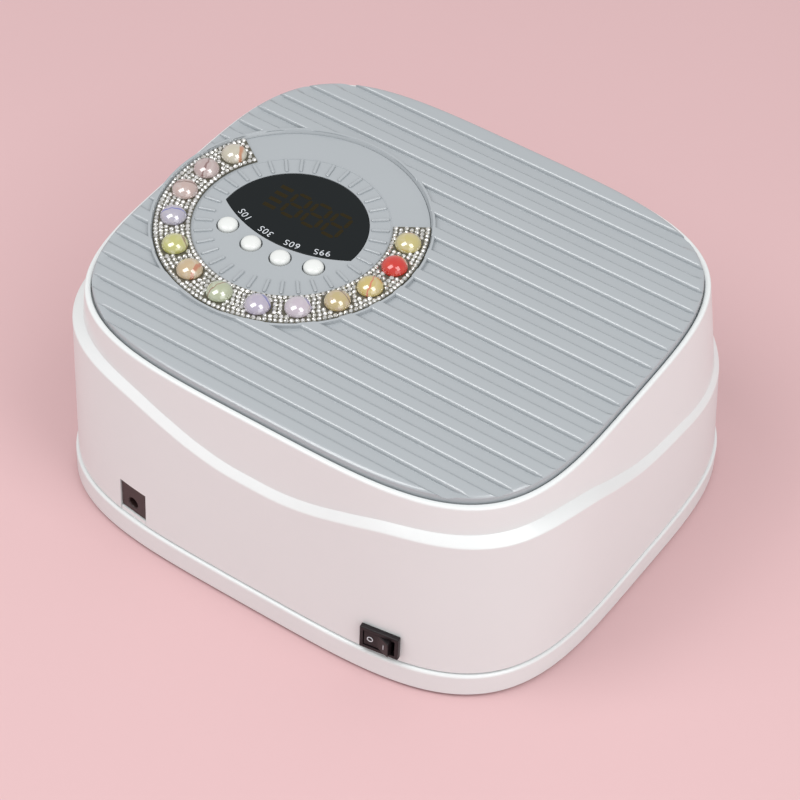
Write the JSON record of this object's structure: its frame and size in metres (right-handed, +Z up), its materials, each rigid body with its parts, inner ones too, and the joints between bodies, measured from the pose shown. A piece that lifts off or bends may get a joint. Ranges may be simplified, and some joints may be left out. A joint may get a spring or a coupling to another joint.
{
  "type": "led nail curing lamp",
  "caption": "Desktop lamp that cures gel nail varnish: an open-fronted hand chamber lined with lamps, a ribbed top with a jewelled timer dial, and a loose base tray.",
  "frame": {"origin": "on the table, under the middle of the footprint", "axes": "+Z up, -Y out of the front where the hand goes in, +Y to the rear with the socket and switch, +X to the side of the dial"},
  "size_m": [0.214, 0.1917, 0.0998],
  "materials": {
    "white_plastic": "glossy white",
    "grey_plastic": "satin pale grey",
    "reflector": "mirror-bright metallised sheet",
    "foot_rubber": "dull",
    "steel": "plated",
    "circuit_board": "lacquered green with clear lamp beads",
    "black_plastic": "semi-gloss black",
    "smoked_window": "smoked, polished",
    "gem_setting": "dark setting with faceted stones",
    "button_white": "glossy white",
    "lead_sleeve": "smooth sleeve",
    "pearl_01": "polished pearly cabochon",
    "pearl_02": "polished pearly cabochon",
    "pearl_03": "polished pearly cabochon",
    "pearl_04": "polished pearly cabochon",
    "pearl_05": "polished pearly cabochon",
    "pearl_06": "polished pearly cabochon",
    "pearl_07": "polished pearly cabochon",
    "pearl_08": "polished pearly cabochon",
    "pearl_09": "polished pearly cabochon",
    "pearl_10": "polished pearly cabochon",
    "pearl_11": "polished pearly cabochon",
    "pearl_12": "polished pearly cabochon",
    "pearl_13": "polished pearly cabochon"
  },
  "bodies": {
    "base_tray": {"base_tray": "white_plastic", "floor_plate": "reflector", "foot_1": "foot_rubber", "foot_2": "foot_rubber", "foot_3": "foot_rubber", "foot_4": "foot_rubber"},
    "lamp": {"casing": "white_plastic", "bottom_frame": "white_plastic", "top_panel": "grey_plastic", "dial_disc": "grey_plastic", "reflector_liner": "reflector", "magnet_1": "steel", "magnet_2": "steel", "magnet_3": "steel", "magnet_4": "steel", "casing_screw_1": "steel", "casing_screw_2": "steel", "casing_screw_3": "steel", "casing_screw_4": "steel", "board_screw_1": "steel", "board_screw_2": "steel", "board_screw_3": "steel", "board_screw_4": "steel", "led_board_ceiling": "circuit_board", "led_board_right": "circuit_board", "led_board_left": "circuit_board", "led_board_rear": "circuit_board", "control_board": "circuit_board", "sensor_lens": "black_plastic", "dc_jack": "black_plastic", "switch_housing": "black_plastic", "display_module": "black_plastic", "tact_switch_10s": "black_plastic", "tact_switch_30s": "black_plastic", "tact_switch_60s": "black_plastic", "tact_switch_99s": "black_plastic", "display_window": "smoked_window", "gem_band": "gem_setting", "lead_socket_to_switch": "lead_sleeve", "lead_switch_to_board": "lead_sleeve", "lead_board_to_lamps": "lead_sleeve", "pearl_01": "pearl_01", "pearl_02": "pearl_02", "pearl_03": "pearl_03", "pearl_04": "pearl_04", "pearl_05": "pearl_05", "pearl_06": "pearl_06", "pearl_07": "pearl_07", "pearl_08": "pearl_08", "pearl_09": "pearl_09", "pearl_10": "pearl_10", "pearl_11": "pearl_11", "pearl_12": "pearl_12", "pearl_13": "pearl_13"},
    "button_10s": {"button_10s": "button_white"},
    "button_30s": {"button_30s": "button_white"},
    "button_60s": {"button_60s": "button_white"},
    "button_99s": {"button_99s": "button_white"},
    "rocker": {"rocker": "black_plastic"}
  },
  "joints": [
    {"name": "lift_off", "type": "slide", "parent": "base_tray", "child": "lamp", "axis": [0, 0, 1], "range_m": [0, 0.04]},
    {"name": "press_10s", "type": "slide", "parent": "lamp", "child": "button_10s", "axis": [0, -0.043, -0.9991], "range_m": [0, 0.0005], "stiffness_N_per_m": 300, "springref_m": -0.001},
    {"name": "press_30s", "type": "slide", "parent": "lamp", "child": "button_30s", "axis": [0, -0.043, -0.9991], "range_m": [0, 0.0005], "stiffness_N_per_m": 300, "springref_m": -0.001},
    {"name": "press_60s", "type": "slide", "parent": "lamp", "child": "button_60s", "axis": [0, -0.043, -0.9991], "range_m": [0, 0.0005], "stiffness_N_per_m": 300, "springref_m": -0.001},
    {"name": "press_99s", "type": "slide", "parent": "lamp", "child": "button_99s", "axis": [0, -0.043, -0.9991], "range_m": [0, 0.0005], "stiffness_N_per_m": 300, "springref_m": -0.001},
    {"name": "rocker_tilt", "type": "hinge", "parent": "lamp", "child": "rocker", "pos_m": [-0.05632, 0.09218, 0.0192], "axis": [0, 0, 1], "range_deg": [0, 24]}
  ]
}
